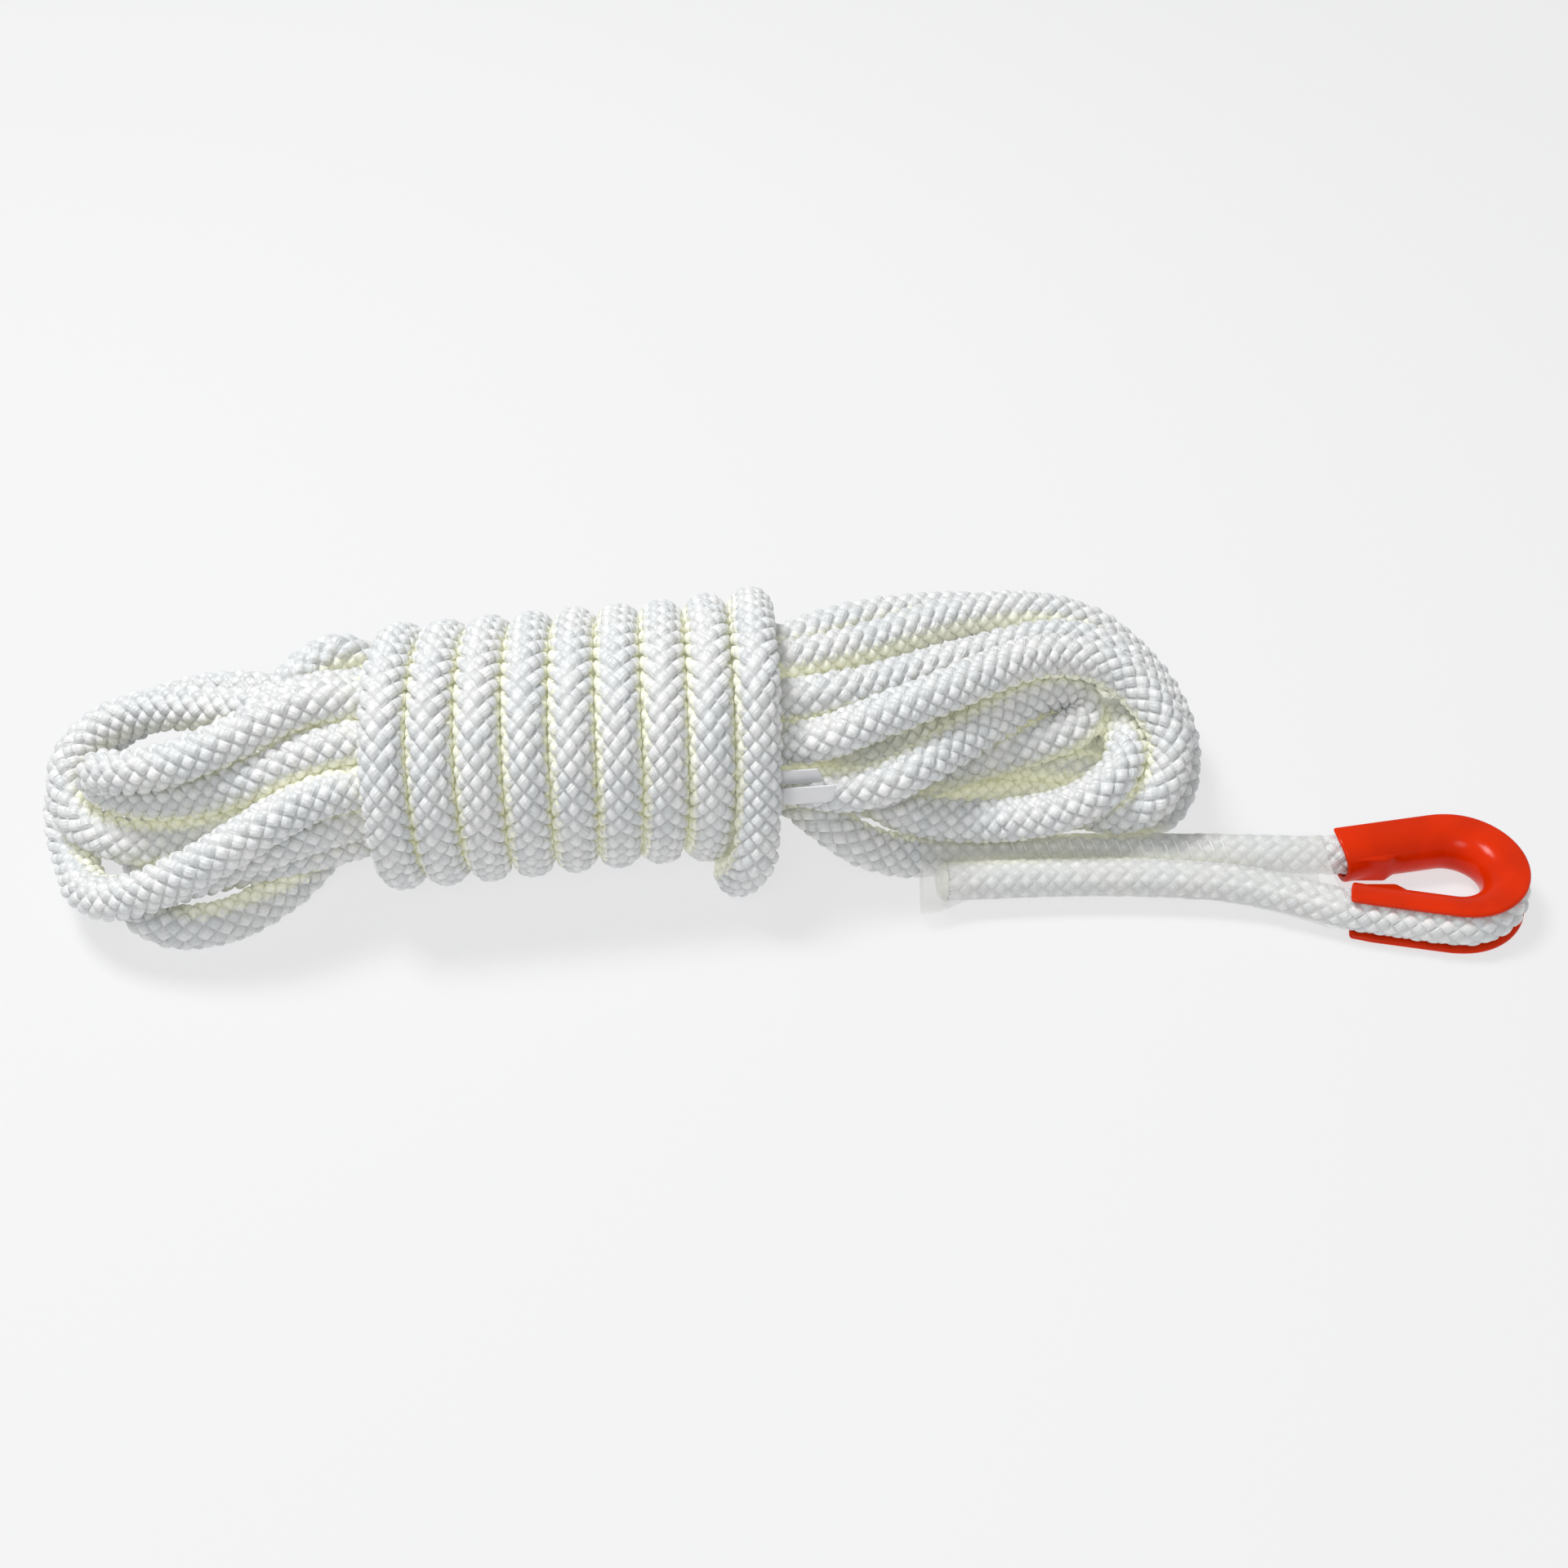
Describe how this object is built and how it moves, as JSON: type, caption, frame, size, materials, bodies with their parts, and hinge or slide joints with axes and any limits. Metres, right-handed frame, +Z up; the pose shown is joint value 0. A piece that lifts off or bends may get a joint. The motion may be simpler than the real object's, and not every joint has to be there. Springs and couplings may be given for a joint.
{
  "type": "coiled dock line",
  "caption": "White braided mooring rope folded into a hank, bound round its waist by turns of itself, with a sewn eye on a plastic thimble under a clear sleeve.",
  "frame": {"origin": "middle of the object's box, on the surface that it lies on", "axes": "+X from the hank's left-hand loops towards the eye, +Y towards the back, +Z up"},
  "size_m": [0.3876, 0.0966, 0.0704],
  "materials": {
    "rope_cover": "bright white filament braid with a satin lustre",
    "rope_core": "dull white filament yarn",
    "thimble_plastic": "orange-red moulded plastic, softly glossy",
    "clear_sleeve": "milky see-through shrunk film",
    "stitching": "waxed white thread",
    "strip": "thin flat grey-white film"
  },
  "bodies": {
    "root": {"thimble": "thimble_plastic", "eye_rope_cover": "rope_cover", "eye_rope_core": "rope_core", "lead_rope_cover": "rope_cover", "lead_rope_core": "rope_core", "shrink_sleeve": "clear_sleeve", "splice_stitching": "stitching", "frapping_turns": "rope_cover", "folded_runs": "rope_cover", "left_bights": "rope_cover", "right_bights": "rope_cover", "tie_strip": "strip"}
  },
  "joints": []
}
